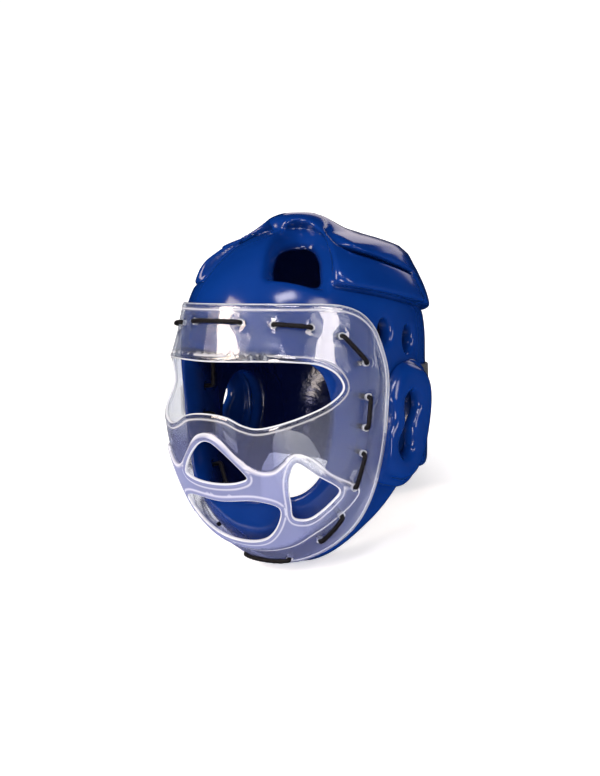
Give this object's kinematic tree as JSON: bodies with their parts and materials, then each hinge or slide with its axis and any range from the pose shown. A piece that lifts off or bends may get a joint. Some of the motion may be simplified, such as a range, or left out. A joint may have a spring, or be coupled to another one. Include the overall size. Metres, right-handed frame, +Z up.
{
  "type": "padded sports head guard",
  "caption": "Padded head guard of dipped foam with ear pads, vented crown and a clear face shield laced to its front.",
  "frame": {"origin": "middle of the bounding box's underside, on the surface the guard rests on", "axes": "+Z up from that surface, the face looks towards -Y and a little up, +X to the wearer's left"},
  "size_m": [0.206, 0.247, 0.2612],
  "materials": {
    "dipped_foam": "glossy dipped vinyl skin",
    "clear_plastic": "clear polished",
    "cord": "braided",
    "elastic": "woven"
  },
  "bodies": {
    "root": {"shell": "dipped_foam", "ear_pad_left": "dipped_foam", "ear_pad_right": "dipped_foam", "face_shield": "clear_plastic", "lace": "cord", "rear_strap": "elastic"}
  },
  "joints": []
}
